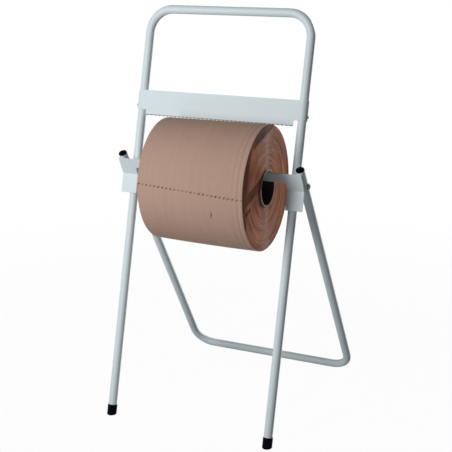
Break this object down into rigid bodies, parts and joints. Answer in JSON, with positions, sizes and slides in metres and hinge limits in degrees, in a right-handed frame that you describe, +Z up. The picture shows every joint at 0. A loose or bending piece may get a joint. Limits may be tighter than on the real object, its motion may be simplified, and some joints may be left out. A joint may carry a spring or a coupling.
{
  "type": "paper roll dispenser stand",
  "caption": "Folding tubular floor stand that holds a large roll of wiping paper on flat arms, under a serrated tear bar and a carrying handle.",
  "frame": {"origin": "on the floor, under the middle of the stand's box", "axes": "+Z up, +X to the stand's right seen from the front, +Y to the back"},
  "size_m": [0.4514, 0.52, 0.9046],
  "materials": {
    "paint": "light blue-grey paint, half gloss",
    "black_plastic": "black moulded plastic",
    "zinc_steel": "zinc-plated steel",
    "nylon": "natural nylon",
    "cardboard": "wound brown cardboard",
    "kraft_paper": "brown recycled wiping paper"
  },
  "bodies": {
    "stand": {"front_frame": "paint", "front_foot_left": "black_plastic", "front_foot_right": "black_plastic", "bracket_left": "paint", "bracket_right": "paint", "tear_bar": "paint", "tear_bar_screw_left": "zinc_steel", "tear_bar_screw_right": "zinc_steel", "pivot_bolt_left": "zinc_steel", "pivot_bolt_right": "zinc_steel", "pivot_head_washer_left": "zinc_steel", "pivot_head_washer_right": "zinc_steel", "pivot_spacer_left": "nylon", "pivot_spacer_right": "nylon", "pivot_nut_washer_left": "zinc_steel", "pivot_nut_washer_right": "zinc_steel", "pivot_nut_left": "zinc_steel", "pivot_nut_right": "zinc_steel"},
    "rear_legs": {"rear_frame": "paint", "rear_plug_left": "black_plastic", "rear_plug_right": "black_plastic"},
    "roll": {"roll_core": "cardboard", "paper_roll": "kraft_paper"}
  },
  "joints": [
    {"name": "rear_legs_fold", "type": "hinge", "parent": "stand", "child": "rear_legs", "pos_m": [0, -0.09068, 0.54463], "axis": [-1, 0, 0], "range_deg": [0, 45.5]},
    {"name": "roll_spin", "type": "hinge", "parent": "stand", "child": "roll", "pos_m": [0.02, -0.12125, 0.5384], "axis": [0.9994, 0.0349, 0], "continuous": true}
  ]
}
